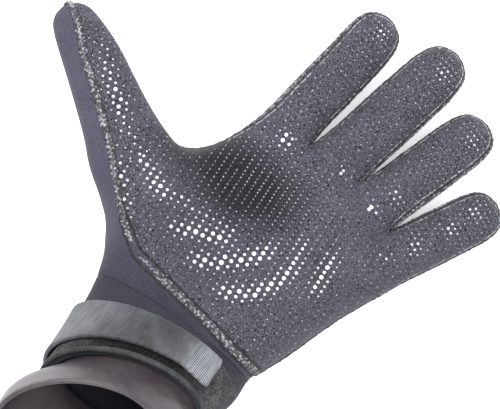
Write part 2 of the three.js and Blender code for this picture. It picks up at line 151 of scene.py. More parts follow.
knitPlace = knitGroup.nodes.new("ShaderNodeSeparateXYZ")
knitGroup.links.new(knitCoord.outputs["Object"], knitPlace.inputs[0])
knitTurns = math2(knitGroup, "DIVIDE", 2 * math.pi / mm, knitIn.outputs["Row"])
knitPhase = math2(knitGroup, "MULTIPLY", knitPlace.outputs["Y"], knitTurns)
knitSway = math2(knitGroup, "MULTIPLY", knitSoft.outputs["Fac"], knitFacts["wander"])
knitWave = math2(knitGroup, "SINE", math2(knitGroup, "ADD", knitPhase, knitSway))
knitRows = math2(knitGroup, "MULTIPLY", knitWave, knitFacts["rowDepth"])
knitLoop = math2(knitGroup, "SUBTRACT", knitFacts["loopTop"], knitFine.outputs["Distance"])
knitTint = math2(knitGroup, "ADD", knitSoft.outputs["Fac"], knitFacts["softBase"])
knitMix = math2(knitGroup, "MULTIPLY", knitLoop, knitTint)
knitGroup.links.new(math2(knitGroup, "ADD", knitMix, knitRows), knitOut.inputs["Tone"])
knitGroup.links.new(math2(knitGroup, "ADD", knitLoop, knitRows), knitOut.inputs["Height"])
knitGroup.links.new(knitSlow.outputs["Fac"], knitOut.inputs["Slow"])

# rib: ridges and uneven streaks across a band, read from its own UV
ribFacts = {
    "inputs": [("Ribs", 235.0), ("Threads", 0.9)], "streakScale": (150, 0.12, 1),
    "streakRange": (0.34, 0.66), "ridge": 0.6, "thread": 0.2, "streak": 0.2,
}
ribGroup, ribIn, ribOut = newGroup("ribbedWeave", ribFacts["inputs"], ["Tone", "Height"])
ribUv = ribGroup.nodes.new("ShaderNodeUVMap")
ribSplit = ribGroup.nodes.new("ShaderNodeSeparateXYZ")
ribGroup.links.new(ribUv.outputs["UV"], ribSplit.inputs[0])


def ribWave(axis, count, share):
    phase = math2(ribGroup, "MULTIPLY", ribSplit.outputs[axis], ribIn.outputs[count])
    turn = math2(ribGroup, "MULTIPLY", phase, 2 * math.pi)
    raised = math2(ribGroup, "ADD", math2(ribGroup, "SINE", turn), 1.0)
    return math2(ribGroup, "MULTIPLY", math2(ribGroup, "MULTIPLY", raised, 0.5), share)


ribStretch = ribGroup.nodes.new("ShaderNodeMapping")
ribStretch.inputs["Scale"].default_value = ribFacts["streakScale"]
ribGroup.links.new(ribUv.outputs["UV"], ribStretch.inputs["Vector"])
ribStreak = ribGroup.nodes.new("ShaderNodeTexNoise")
setInputs(ribStreak, {"Scale": 1, "Detail": 1})
ribGroup.links.new(ribStretch.outputs["Vector"], ribStreak.inputs["Vector"])
ribClear = ramp(ribGroup, ribStreak.outputs["Fac"], *ribFacts["streakRange"])
ribWeave = math2(ribGroup, "ADD", ribWave("X", "Ribs", ribFacts["ridge"]),
                 ribWave("Y", "Threads", ribFacts["thread"]))
ribSum = math2(ribGroup, "ADD", ribWeave, math2(ribGroup, "MULTIPLY", ribClear, ribFacts["streak"]))
ribGroup.links.new(ribSum, ribOut.inputs["Tone"])
ribGroup.links.new(ribSum, ribOut.inputs["Height"])


def mixColour(tree, factor, low, high):
    mix = tree.nodes.new("ShaderNodeMix")
    mix.data_type = "RGBA"
    tree.links.new(factor, mix.inputs["Factor"])
    mix.inputs[6].default_value = (*low, 1)
    mix.inputs[7].default_value = (*high, 1)
    return mix.outputs[2]


def multiplyColour(tree, colour, tint, factor=1.0):  # tint and factor are sockets or values
    mix = tree.nodes.new("ShaderNodeMix")
    mix.data_type = "RGBA"
    mix.blend_type = "MULTIPLY"
    tree.links.new(colour, mix.inputs[6])
    for socket, value in ((mix.inputs["Factor"], factor), (mix.inputs[7], tint)):
        if isinstance(value, bpy.types.NodeSocket):
            tree.links.new(value, socket)
        else:
            socket.default_value = value
    return mix.outputs[2]


def bumpFrom(tree, shader, height, depth, strength):
    bump = tree.nodes.new("ShaderNodeBump")
    setInputs(bump, {"Distance": depth * mm, "Strength": strength})
    tree.links.new(height, bump.inputs["Height"])
    tree.links.new(bump.outputs["Normal"], shader.inputs["Normal"])


def newMaterial(name):
    material = bpy.data.materials.new(name)
    material.use_nodes = True
    return material, material.node_tree, material.node_tree.nodes["Principled BSDF"]


def groupNode(tree, group, values):
    node = tree.nodes.new("ShaderNodeGroup")
    node.node_tree = group
    setInputs(node, values)
    return node


spotEdge = (1.2, 0.5)  # shares of a spot's reach, from clear cloth to full dark


def paintedShadeSpots(tree, colour, places):  # soft-edged spots of painted shade, where the cloth is drawn darker
    coord = tree.nodes.new("ShaderNodeTexCoord")
    for place in places:
        mapping = tree.nodes.new("ShaderNodeMapping")
        mapping.vector_type = "TEXTURE"
        setInputs(mapping, {
            "Location": plan(*place["middle"]), "Rotation": (0, 0, math.radians(place["turn"])),
            "Scale": [reach * mm for reach in place["reach"]],
        })
        tree.links.new(coord.outputs["Object"], mapping.inputs["Vector"])
        length = tree.nodes.new("ShaderNodeVectorMath")
        length.operation = "LENGTH"
        tree.links.new(mapping.outputs["Vector"], length.inputs[0])
        nearness = ramp(tree, length.outputs["Value"], *spotEdge)
        colour = multiplyColour(tree, colour, (*place["tint"], 1), nearness)
    return colour


slowRange = (0.35, 0.65)  # how much of the slow noise shows


def clothMaterial(name, facts):
    material, tree, shader = newMaterial(name)
    knit = groupNode(tree, knitGroup, {
        "Loop": facts["loop"], "Row": facts["row"], "Patch": facts["patch"],
    })
    fineTone = ramp(tree, knit.outputs["Tone"], *facts["toneRange"])
    slowTone = ramp(tree, knit.outputs["Slow"], *slowRange)
    slow = mixColour(tree, slowTone, facts["slowDark"], (1.0, 1.0, 1.0))
    colour = multiplyColour(tree, mixColour(tree, fineTone, facts["dark"], facts["light"]), slow)
    colour = paintedShadeSpots(tree, colour, facts.get("paintedShadeSpots", []))
    tree.links.new(colour, shader.inputs["Base Color"])
    bumpFrom(tree, shader, knit.outputs["Height"], facts["depth"], facts["strength"])
    setInputs(shader, {
        "Roughness": facts["roughness"], "Specular IOR Level": facts["specular"],
        "Sheen Weight": facts["sheen"], "Sheen Roughness": 0.5,
    })
    return material


palmCloth = clothMaterial("gripKnit", {
    "loop": 0.5, "row": 0.62, "patch": 13, "toneRange": (0.10, 0.61), "dark": (0.003, 0.003, 0.004),
    "light": (0.088, 0.086, 0.110), "slowDark": (0.84, 0.84, 0.85), "depth": 0.3, "strength": 0.7,
    "roughness": 0.78, "specular": 0.12, "sheen": 0.03,
    "paintedShadeSpots": [
        # painted shade: the palm's hollow, and a lighter spot of it towards the thumb's web
        {"middle": (-9, 4, 24), "turn": 17, "reach": (31, 19, 30), "tint": (0.24, 0.26, 0.24)},
        {"middle": (-34, 1, 22), "turn": 40, "reach": (27, 16, 30), "tint": (0.62, 0.63, 0.62)},
    ],
})
jersey = clothMaterial("smoothJersey", {
    "loop": 0.5, "row": 0.5, "patch": 14, "toneRange": (0.05, 0.8), "dark": (0.029, 0.028, 0.040),
    "light": (0.066, 0.063, 0.088), "slowDark": (0.86, 0.86, 0.88), "depth": 0.12, "strength": 0.5,
    "roughness": 0.88, "specular": 0.12, "sheen": 0.04,
    "paintedShadeSpots": [
        # painted shade over the jersey at the wrist
        {"middle": (12, -74, 30), "turn": 4, "reach": (56, 34, 60), "tint": (0.46, 0.46, 0.47)},
    ],
})
# the same jersey again, painted darker as the shade at the wrist
shadedCuffJersey = clothMaterial("shadedCuffJersey", {
    "loop": 0.5, "row": 0.5, "patch": 12, "toneRange": (0.05, 0.8), "dark": (0.014, 0.013, 0.018),
    "light": (0.033, 0.031, 0.043), "slowDark": (0.84, 0.84, 0.86), "depth": 0.12, "strength": 0.5,
    "roughness": 0.88, "specular": 0.12, "sheen": 0.04,
})
loopPile = clothMaterial("loopPile", {
    "loop": 0.8, "row": 0.9, "patch": 6, "toneRange": (0.0, 0.7), "dark": (0.005, 0.005, 0.005),
    "light": (0.084, 0.080, 0.086), "slowDark": (0.45, 0.45, 0.45), "depth": 0.6, "strength": 1.0,
    "roughness": 0.95, "specular": 0.1, "sheen": 0.05,
    "paintedShadeSpots": [
        # painted shadow of the strap across the loop pile
        {"middle": (12, -78, 60), "turn": 18, "reach": (34, 13, 44), "tint": (0.1, 0.1, 0.1)},
    ],
})
bindingCloth = clothMaterial("cuffBinding", {
    "loop": 0.5, "row": 0.5, "patch": 6, "toneRange": (0.0, 0.8), "dark": (0.016, 0.016, 0.017),
    "light": (0.058, 0.059, 0.060), "slowDark": (0.6, 0.6, 0.6), "depth": 0.15, "strength": 0.6,
    "roughness": 0.8, "specular": 0.15, "sheen": 0.02,
})
sealSkin = clothMaterial("smoothSkin", {
    "loop": 2.2, "row": 3.0, "patch": 16, "toneRange": (0.0, 0.9), "dark": (0.034, 0.028, 0.031),
    "light": (0.048, 0.040, 0.043), "slowDark": (0.66, 0.64, 0.7), "depth": 0.04, "strength": 0.2,
    "roughness": 0.45, "specular": 0.35, "sheen": 0.0,
})


def lumpMaterial(name, low, high, roughness, strength, extra=None):  # tone is kept on the points
    material, tree, shader = newMaterial(name)
    tone = tree.nodes.new("ShaderNodeAttribute")
    tone.attribute_name = "tone"
    knit = groupNode(tree, knitGroup, {"Loop": 0.45, "Row": 0.4, "Patch": 5})
    knitTone = ramp(tree, knit.outputs["Tone"], -0.3, 0.5)
    grain = mixColour(tree, knitTone, (0.0, 0.0, 0.0), (1.0, 1.0, 1.0))
    colour = multiplyColour(tree, mixColour(tree, tone.outputs["Fac"], low, high), grain, strength)
    tree.links.new(colour, shader.inputs["Base Color"])
    bumpFrom(tree, shader, knit.outputs["Height"], 0.1, strength)
    setInputs(shader, {"Roughness": roughness, **(extra or {})})
    return material


seamCloth = lumpMaterial("seamTape", (0.011, 0.011, 0.014), (0.048, 0.046, 0.054),
                         roughness=0.85, strength=0.7)
threadCloth = lumpMaterial("seamThread", (0.008, 0.008, 0.010), (0.225, 0.225, 0.245),
                           roughness=0.65, strength=0.5)
# needle holes, and dark spots painted as the shadows beside grip dots
holeAndShadowCloth = lumpMaterial("needleHolesAndShadows", (0.002, 0.002, 0.002), (0.010, 0.010, 0.011),
                         roughness=0.95, strength=0.3)
dotRubber = lumpMaterial("gripDots", (0.10, 0.10, 0.11), (0.50, 0.52, 0.57),
                         roughness=0.25, strength=0.04,
                         extra={"Specular IOR Level": 0.6, "Coat Weight": 0.3})

# the strap's colour: its weave, uneven dirt, and ends drawn lighter, partly wear and partly painted
# sheen
webFacts = {
    "patch": 8, "patchRange": (0.3, 0.7), "patchShare": 0.22, "dark": (0.001, 0.001, 0.001),
    "light": (0.070, 0.073, 0.080), "dull": (0.32, 0.32, 0.32), "wornAndSheen": (3.4, 3.4, 3.46),
    "depth": 0.4, "strength": 0.8,
}
webbing, webTree, webShader = newMaterial("strapWebbing")
webRib = groupNode(webTree, ribGroup, {})
webKnit = groupNode(webTree, knitGroup, {"Loop": 0.45, "Row": 0.5, "Patch": webFacts["patch"]})
webBase = mixColour(webTree, webRib.outputs["Tone"], webFacts["dark"], webFacts["light"])
webWearAndSheen = webTree.nodes.new("ShaderNodeAttribute")  # lighter at the strap's ends, partly wear and partly painted sheen
webWearAndSheen.attribute_name = "wearAndSheen"
webUneven = ramp(webTree, webKnit.outputs["Slow"], *webFacts["patchRange"])
webPatch = math2(webTree, "MULTIPLY", webUneven, webFacts["patchShare"])
webSlow = math2(webTree, "ADD", webPatch, webWearAndSheen.outputs["Fac"])
webDirtAndSheen = mixColour(webTree, webSlow, webFacts["dull"], webFacts["wornAndSheen"])
webTree.links.new(multiplyColour(webTree, webBase, webDirtAndSheen), webShader.inputs["Base Color"])
bumpFrom(webTree, webShader, webRib.outputs["Height"], webFacts["depth"], webFacts["strength"])
setInputs(webShader, {"Roughness": 0.7, "Sheen Weight": 0.05, "Specular IOR Level": 0.3})
print("stage: finishes")


# shared making
def selectOnly(piece):
    bpy.ops.object.select_all(action="DESELECT")
    piece.select_set(True)
    bpy.context.view_layer.objects.active = piece


def finishPiece(piece, material, replaced=()):
    piece.data.materials.clear()
    piece.data.materials.append(material)
    selectOnly(piece)
    bpy.ops.object.shade_smooth()
    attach(piece, "root")
    if replaced:
        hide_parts(*replaced)


softFacts = {"quadFace": 70, "quadShape": 75, "creaseTurn": 52, "levels": 2, "passes": 3}


def softCopy(nodeName, pieceName, crease):  # a CAD node's faceted solid, rounded
    piece = bpy.data.objects.new(pieceName, nodes[nodeName].data.copy())
    scene.collection.objects.link(piece)
    selectOnly(piece)
    bpy.ops.object.mode_set(mode="EDIT")
    bpy.ops.mesh.select_mode(type="EDGE")
    bpy.ops.mesh.select_all(action="SELECT")
    bpy.ops.mesh.remove_doubles(threshold=weldGap)
    bpy.ops.mesh.tris_convert_to_quads(
        face_threshold=math.radians(softFacts["quadFace"]),
        shape_threshold=math.radians(softFacts["quadShape"]),
    )
    bpy.ops.object.mode_set(mode="OBJECT")
    mesh = bmesh.new()
    mesh.from_mesh(piece.data)
    layer = mesh.edges.layers.float.get("crease_edge") or mesh.edges.layers.float.new("crease_edge")
    for edge in mesh.edges:
        if len(edge.link_faces) == 2 and edge.calc_face_angle(0) > math.radians(softFacts["creaseTurn"]):
            edge[layer] = crease
    mesh.to_mesh(piece.data)
    mesh.free()
    rounding = piece.modifiers.new("rounding", "SUBSURF")
    rounding.levels = softFacts["levels"]
    rounding.render_levels = softFacts["levels"]
    # rounding draws a surface in, so its points are moved out until it passes through them
    wanted = [v.co.copy() for v in piece.data.vertices]
    for attempt in range(softFacts["passes"]):
        rounded = piece.evaluated_get(bpy.context.evaluated_depsgraph_get()).data.vertices
        drawnIn = [want - rounded[i].co for i, want in enumerate(wanted)]
        for vert, shift in zip(piece.data.vertices, drawnIn):
            vert.co += shift
        piece.data.update()
    bpy.ops.object.modifier_apply(modifier=rounding.name)
    return piece


def meshPiece(name, points, faces):
    data = bpy.data.meshes.new(name)
    data.from_pydata(points, [], faces)
    data.update()
    piece = bpy.data.objects.new(name, data)
    scene.collection.objects.link(piece)
    return piece


# the line where the palm and back panels meet, read off the panels' rims
def skinNormals(mesh, rimFaces):
    found = {}
    for face in mesh.faces:
        if face in rimFaces:
            continue
        for vert in face.verts:
            found[vert] = found.get(vert, Vector()) + face.normal * face.calc_area()
    return found


def weldedMesh(nodeName):
    mesh = bmesh.new()
    mesh.from_mesh(nodes[nodeName].data)
    bmesh.ops.remove_doubles(mesh, verts=mesh.verts, dist=weldGap)
    return mesh


def treeOf(points):
    tree = kdtree.KDTree(len(points))
    for i, point in enumerate(points):
        tree.insert(point, i)
    tree.balance()
    return tree


def borderOf(mesh, faces):  # the edges round a patch of faces
    return [e for e in mesh.edges if sum(f in faces for f in e.link_faces) == 1]


def rimParts(nodeName, otherName):
    mesh = weldedMesh(nodeName)
    tree = treeOf([vert.co for vert in nodes[otherName].data.vertices])
    near = {v for v in mesh.verts if tree.find(v.co)[2] < rimGap}
    rimFaces = {f for f in mesh.faces if all(v in near for v in f.verts)}
    return mesh, rimFaces, borderOf(mesh, rimFaces)


def walkLoops(edges):
    links = {}
    for edge in edges:
        a, b = edge.verts
        links.setdefault(a, []).append(b)
        links.setdefault(b, []).append(a)
    loops = []
    left = set(links)
    for start in links:  # in the edges' order, so each run walks the same way
        if start not in left:
            continue
        left.discard(start)
        loop = [start]
        ahead = [v for v in links[start] if v in left]
        while ahead:
            step = ahead[0]
            left.discard(step)
            loop.append(step)
            ahead = [v for v in links[step] if v in left]
        loops.append(loop)
    return loops


def longestLoop(edges):
    return max(walkLoops(edges), key=lambda loop: sum((v.co - loop[i - 1].co).length
                                                      for i, v in enumerate(loop)))


def seamPath(nodeName, otherName):
    mesh, rimFaces, edges = rimParts(nodeName, otherName)
    otherMesh, otherRim, otherEdges = rimParts(otherName, nodeName)
    loop = longestLoop(edges)
    normals = skinNormals(mesh, rimFaces)
    otherNormals = skinNormals(otherMesh, otherRim)
    rimVerts = [v for e in otherEdges for v in e.verts]
    tree = treeOf([vert.co for vert in rimVerts])
    points, outs = [], []
    for vert in loop:
        mate = rimVerts[tree.find(vert.co)[1]]
        points.append((vert.co + mate.co) / 2)
        outs.append((normals[vert].normalized() + otherNormals[mate].normalized()).normalized())
    mesh.free()
    otherMesh.free()
    return points, outs


fineStep = 0.25 * mm


def evenPath(points, outs, step):  # a closed line with points every step, smoothed
    count = len(points)
    dense = []
    for i in range(count):
        p0, p1, p2, p3 = (points[(i + k - 1) % count] for k in range(4))
        n1, n2 = outs[i], outs[(i + 1) % count]
        pieces = max(2, int((p2 - p1).length / fineStep))
        for k in range(pieces):
            t = k / pieces
            place = 0.5 * (2 * p1 + (p2 - p0) * t + (2 * p0 - 5 * p1 + 4 * p2 - p3) * t * t
                           + (3 * p1 - p0 - 3 * p2 + p3) * t ** 3)
            dense.append((place, n1.lerp(n2, t).normalized()))
    total = sum((dense[i][0] - dense[i - 1][0]).length for i in range(len(dense)))
    pitch = total / max(3, round(total / step))
    path = [dense[0]]
    walked = 0.0
    for i in range(1, len(dense)):
        walked += (dense[i][0] - dense[i - 1][0]).length
        if walked >= pitch * len(path) and len(path) < round(total / pitch):
            path.append(dense[i])
    return path


def pathFrames(points, outs, step):  # place, way along, way across and way out, every step
    path = evenPath(points, outs, step)
    frames = []
    for i, (place, out) in enumerate(path):
        along = (path[(i + 1) % len(path)][0] - path[i - 1][0]).normalized()
        out = (out - along * out.dot(along)).normalized()
        frames.append((place, along, along.cross(out), out))
    return frames


def ridgePiece(name, frames, section):  # a closed section carried along a closed line
    points, faces = [], []
    width = len(section)
    for place, along, side, out in frames:
        for across, height in section:
            points.append(place + side * across * mm + out * height * mm)
    for i in range(len(frames)):
        row, nextRow = i * width, (i + 1) % len(frames) * width
        for k in range(width):
            nextPoint = (k + 1) % width
            faces.append((row + k, row + nextPoint, nextRow + nextPoint, nextRow + k))
    piece = meshPiece(name, points, faces)
    selectOnly(piece)
    bpy.ops.object.mode_set(mode="EDIT")
    bpy.ops.mesh.select_all(action="SELECT")
    bpy.ops.mesh.normals_make_consistent(inside=False)
    bpy.ops.object.mode_set(mode="OBJECT")
    return piece


# one small lump, made once: a thread's stitch, a needle hole, a painted dot shadow or a drop of rubber
def lumpShape(segments, rings, keepAbove=None):  # its corners and faces
    bpy.ops.object.select_all(action="DESELECT")
    bpy.ops.mesh.primitive_uv_sphere_add(
        segments=segments, ring_count=rings, radius=1, location=(0, 0, 0),
    )
    lump = bpy.context.object
    if keepAbove is not None:
        bpy.ops.object.mode_set(mode="EDIT")
        bpy.ops.mesh.select_all(action="SELECT")
        bpy.ops.mesh.bisect(plane_co=(0, 0, keepAbove), plane_no=(0, 0, 1), clear_inner=True)
        bpy.ops.object.mode_set(mode="OBJECT")
    shape = ([v.co.copy() for v in lump.data.vertices], [tuple(p.vertices) for p in lump.data.polygons])
    bpy.data.objects.remove(lump)
    return shape


def setTone(piece, tones):
    layer = piece.data.attributes.new("tone", "FLOAT", "POINT")
    layer.data.foreach_set("value", tones)


def scatterLumps(name, shape, places, tones):  # places: (point, x axis, y axis, z axis), axes scaled
    points, faces = [], []
    for place, ax, ay, az in places:
        start = len(points)
        points.extend(place + ax * v.x + ay * v.y + az * v.z for v in shape[0])
        faces.extend(tuple(start + i for i in face) for face in shape[1])
    piece = meshPiece(name, points, faces)
    setTone(piece, [tone for tone in tones for _ in shape[0]])
    return piece


# palm and back panels, cuff, seal and loop patch
palmPanel = softCopy("palm_panel", "palmPanel", crease=0.35)
finishPiece(palmPanel, palmCloth, ["palm_panel"])
backPanel = softCopy("back_panel", "backPanel", crease=0.35)
finishPiece(backPanel, jersey, ["back_panel"])
cuffBand = softCopy("cuff_band", "cuffBand", crease=0.5)
finishPiece(cuffBand, shadedCuffJersey, ["cuff_band"])
wristSeal = softCopy("wrist_seal", "wristSeal", crease=0.3)
finishPiece(wristSeal, sealSkin, ["wrist_seal"])
loopPatch = softCopy("loop_patch", "loopPatch", crease=0.8)
finishPiece(loopPatch, loopPile, ["loop_patch"])
print("stage: panels, cuff, seal and loop patch")

# strap, with a UV that runs along and across it, and its two ends drawn lighter, partly wear and partly
# painted sheen
strap = {
    "middle": (21.5, -90, 38), "level": 0.6, "rise": 0.8, "underside": 0.1,
    "wornAndSheen": [{"x": 38, "reach": 11, "share": 1.0}, {"x": -15, "reach": 9, "share": 0.38}],
}
wristStrap = softCopy("wrist_strap", "wristStrap", crease=0.85)
strapMesh = wristStrap.data
strapUv = strapMesh.uv_layers[0] if strapMesh.uv_layers else strapMesh.uv_layers.new(name="UVMap")
strapMiddle = plan(*strap["middle"])
for loop in strapMesh.loops:
    point = strapMesh.vertices[loop.vertex_index].co - strapMiddle
    level, rise = point.y * strap["level"], point.z * strap["rise"]
    turn = math.atan2(rise + level, -point.x)
    strapUv.data[loop.index].uv = (turn / (2 * math.pi), (rise - level) / mm)
strapWearAndSheen = strapMesh.attributes.new("wearAndSheen", "FLOAT", "POINT")
for vert in strapMesh.vertices:
    x = (vert.co.x - aimPoint.x) / mm
    ends = max(end["share"] * math.exp(-((x - end["x"]) / end["reach"]) ** 2) for end in strap["wornAndSheen"])
    # the lighter ends only on the upper side, where the light falls; the underside keeps a low fixed
    # value
    strapWearAndSheen.data[vert.index].value = ends if vert.co.z > strapMiddle.z else strap["underside"]
finishPiece(wristStrap, webbing, ["wrist_strap"])
print("stage: strap")

palmTree = BVHTree.FromObject(palmPanel, bpy.context.evaluated_depsgraph_get())
backTree = BVHTree.FromObject(backPanel, bpy.context.evaluated_depsgraph_get())


def onCloth(point):  # the nearest place on either panel, and the way out of it there
    found = [tree.find_nearest(point) for tree in (palmTree, backTree)]
    hit, normal, face, gap = min(found, key=lambda spot: spot[3])
    return hit, normal


def easeBend(points, bend):  # rounds a short stretch of the line and keeps it on the cloth
    middle = plan(*bend["middle"])
    nearness = [max(0.0, 1 - math.hypot(p.x - middle.x, p.y - middle.y) / (bend["reach"] * mm))
                for p in points]
    eased = list(points)
    for attempt in range(bend["rounds"]):
        means = [(eased[i - 1] + eased[(i + 1) % len(eased)]) / 2 for i in range(len(eased))]
        eased = [p.lerp(mean, min(bend["most"], bend["ease"] * near))
                 for p, mean, near in zip(eased, means, nearness)]
    return [onCloth(p)[0] if near else p for p, near in zip(eased, nearness)]


# stitched seam: a low cord over the join, thread lumps along it and needle holes on both sides
seam = {
    "step": 1.0,
    # across, height and tone of each point of the cord's section; the tone darkens the cord's edges as
    # painted shade and lightens its crest as painted light
    "section": [(-1.8, -0.8, 0.0), (-1.55, 0.06, 0.0), (-0.8, 0.42, 0.5), (0.0, 0.55, 0.9),
                (0.8, 0.42, 0.5), (1.55, 0.06, 0.0), (1.8, -0.8, 0.0)],
    "bend": {"middle": (-27, -50), "reach": 24, "rounds": 8, "ease": 1.5, "most": 0.5},
    "upright": 0.2, "fingerLine": 12, "wristLine": -45,
}
stitch = {
    "pitch": 1.15, "size": (0.86, 0.74, 0.48), "spread": (0.78, 1.15), "lean": 0.7, "sway": 0.32,
    "swayLoose": 0.15, "rise": 0.5, "riseLoose": (-0.12, 0.1), "tonePower": 1.4,
}
flank = {"reach": 1.25, "loose": 0.3, "slip": 0.4, "rise": 0.3, "share": 0.75, "spread": (0.7, 1.2),
         "tonePower": 2.2}
edgeRow = {"reach": 3.4, "loose": 0.2, "size": (0.72, 0.5, 0.38), "spread": (0.75, 1.2),
           "holeAhead": 0.6, "hole": (0.85, 0.66)}
needle = {"pitch": 2.4, "reach": 2.1, "wristReach": 2.5, "loose": 0.25, "size": (0.52, 0.4),
          "spread": (0.7, 1.25), "wristShadowGrowth": 2.1, "lift": 0.2}
chance = random.Random(11)
seamPoints, seamOuts = seamPath("palm_panel", "back_panel")
seamPoints = easeBend(seamPoints, seam["bend"])
seamFrames = pathFrames(seamPoints, seamOuts, seam["step"] * mm)
seamRidge = ridgePiece("seamRidge", seamFrames, [part[:2] for part in seam["section"]])
setTone(seamRidge, [part[2] for part in seam["section"]] * len(seamFrames))
finishPiece(seamRidge, seamCloth)


def onFinger(place):
    return (place.y - aimPoint.y) / mm > seam["fingerLine"]


stitchShape = lumpShape(segments=8, rings=5)
stitchPlaces, stitchTones = [], []
stitchFrames = pathFrames(seamPoints, seamOuts, stitch["pitch"] * mm)
for i, (place, along, side, out) in enumerate(stitchFrames):
    lean = chance.uniform(-stitch["lean"], stitch["lean"])
    length, width, height = (size * chance.uniform(*stitch["spread"]) * mm for size in stitch["size"])
    axisX = (along * math.cos(lean) + side * math.sin(lean)) * length
    axisY = (side * math.cos(lean) - along * math.sin(lean)) * width
    across = stitch["sway"] * (1 if i % 2 else -1)
    across += chance.uniform(-stitch["swayLoose"], stitch["swayLoose"])
    rise = stitch["rise"] + chance.uniform(*stitch["riseLoose"])
    stitchPlaces.append((place + side * across * mm + out * rise * mm, axisX, axisY, out * height))
    stitchTones.append(chance.random() ** stitch["tonePower"])
    if out.z > seam["upright"]:  # rougher where the seam lies on the palm side
        for flip in (1, -1):
            across = flip * flank["reach"] + chance.uniform(-flank["loose"], flank["loose"])
            slip = chance.uniform(-flank["slip"], flank["slip"])
            middle = place + (side * across + along * slip + out * flank["rise"]) * mm
            share = flank["share"] * chance.uniform(*flank["spread"])
            stitchPlaces.append((middle, axisY * share, axisX * share * -1, out * height * share))
            stitchTones.append(chance.random() ** flank["tonePower"])
    if onFinger(place):  # a second row, on the fingers' palm side
        flip = 1 if side.z > 0 else -1
        reach = edgeRow["reach"] + chance.uniform(-edgeRow["loose"], edgeRow["loose"])
        hit, normal = onCloth(place + side * flip * reach * mm)
        alongCloth = (along - normal * along.dot(normal)).normalized()
        acrossCloth = normal.cross(alongCloth)
        length, width, height = (size * chance.uniform(*edgeRow["spread"]) * mm
                                 for size in edgeRow["size"])
        stitchPlaces.append((hit, alongCloth * length, acrossCloth * width, normal * height))
        stitchTones.append(chance.random())
seamStitches = scatterLumps("seamStitches", stitchShape, stitchPlaces, stitchTones)
finishPiece(seamStitches, threadCloth)
print("stage: seam,", len(stitchPlaces), "stitches")

# binding: a rolled tape round the cuff's end
binding = {"towardsSeal": (0.06, -0.75, 0.66), "endDepth": 0.03, "facing": 0.75, "step": 1.5,
           "inward": 0.5, "outward": 0.6, "halfWidth": 1.5, "halfHeight": 1.25, "sides": 9}
cuffMesh = weldedMesh("cuff_band")
cuffAxis = Vector(binding["towardsSeal"]).normalized()
endStart = max(vert.co.dot(cuffAxis) for vert in cuffMesh.verts) - binding["endDepth"]
endFaces = {f for f in cuffMesh.faces if f.normal.dot(cuffAxis) > binding["facing"]
            and f.calc_center_median().dot(cuffAxis) > endStart}
endLoop = longestLoop(borderOf(cuffMesh, endFaces))
endNormals = skinNormals(cuffMesh, endFaces)
bindingFrames = pathFrames([v.co.copy() for v in endLoop], [endNormals[v].normalized() for v in endLoop],
                           binding["step"] * mm)
cuffMesh.free()
sealSide = 1 if sum(side.dot(cuffAxis) for place, along, side, out in bindingFrames) > 0 else -1
bindingRound = []
for i in range(binding["sides"]):
    turn = 2 * math.pi * i / binding["sides"]
    bindingRound.append((sealSide * (-binding["inward"] + binding["halfWidth"] * math.cos(turn)),
                         binding["outward"] + binding["halfHeight"] * math.sin(turn)))
cuffBinding = ridgePiece("cuffBinding", bindingFrames, bindingRound)
finishPiece(cuffBinding, bindingCloth)
print("stage: cuff binding,", len(bindingFrames), "steps")

# needle holes and painted shadows: flat dark spots, sunk a little into whichever panel is nearer
holeOrShadowShape = lumpShape(segments=7, rings=4, keepAbove=-0.05)
holeAndShadowPlaces = []
spotSunk, spotHeight = 0.02, 0.12


def addHoleOrShadow(point, towards, length, width):
    hit, normal = onCloth(point)
    alongCloth = (towards - normal * towards.dot(normal)).normalized()
    holeAndShadowPlaces.append((hit - normal * spotSunk * mm, alongCloth * length * mm,
                       normal.cross(alongCloth) * width * mm, normal * spotHeight * mm))


needleFrames = pathFrames(seamPoints, seamOuts, needle["pitch"] / 2 * mm)
for i, (place, along, side, out) in enumerate(needleFrames):
    nearWrist = (place.y - aimPoint.y) / mm < seam["wristLine"] and out.z > seam["upright"]
    if i % 2 and not nearWrist:
        continue
    # near the wrist the holes are larger and reach further: needle holes, grown to stand also for the
    # painted shadow under the seam's edge
    growth = needle["wristShadowGrowth"] if nearWrist else 1.0
    for flip in (1, -1):
        length, width = (size * chance.uniform(*needle["spread"]) * growth for size in needle["size"])
        reach = needle["wristReach" if nearWrist else "reach"]
        reach += chance.uniform(-needle["loose"], needle["loose"])
        addHoleOrShadow(place + side * flip * reach * mm + out * needle["lift"] * mm, along, length, width)
    if onFinger(place):
        flip = 1 if side.z > 0 else -1
        ahead = along * edgeRow["holeAhead"] * mm
        addHoleOrShadow(place + side * flip * edgeRow["reach"] * mm + ahead, along, *edgeRow["hole"])
print("stage: needle holes,", len(holeAndShadowPlaces))

